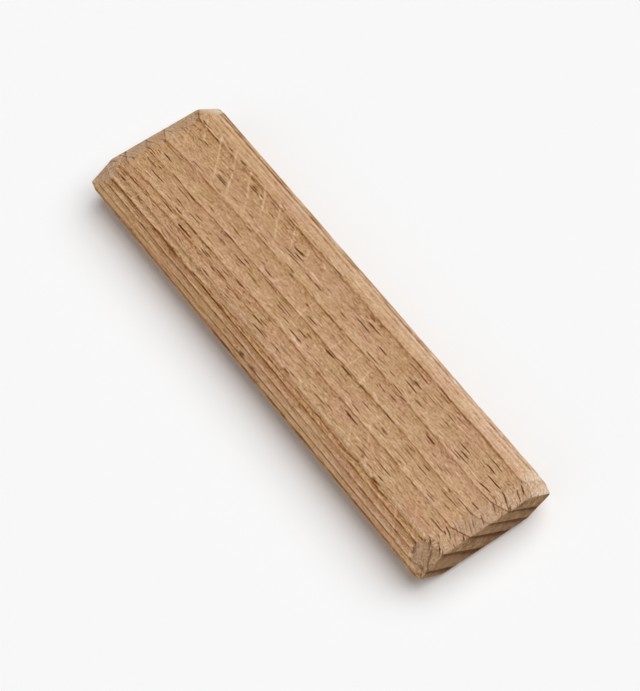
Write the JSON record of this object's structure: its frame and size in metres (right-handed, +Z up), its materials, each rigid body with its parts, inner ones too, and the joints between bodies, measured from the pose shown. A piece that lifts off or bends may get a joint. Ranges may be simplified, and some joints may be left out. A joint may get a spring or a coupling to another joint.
{
  "type": "loose tenon",
  "caption": "Flat beech loose tenon: a straight bar with half-round, lengthwise-fluted edges and hipped chamfers at its ends, glued into matching mortises to join wooden parts.",
  "frame": {"origin": "centre of the flat underside, on the surface that the tenon lies on", "axes": "+X along the tenon's length and the grain, +Y across its width, +Z up through its thickness"},
  "size_m": [0.08, 0.0228, 0.008],
  "materials": {
    "beech": "bare planed beech, unfinished"
  },
  "bodies": {
    "root": {"tenon": "beech"}
  },
  "joints": []
}
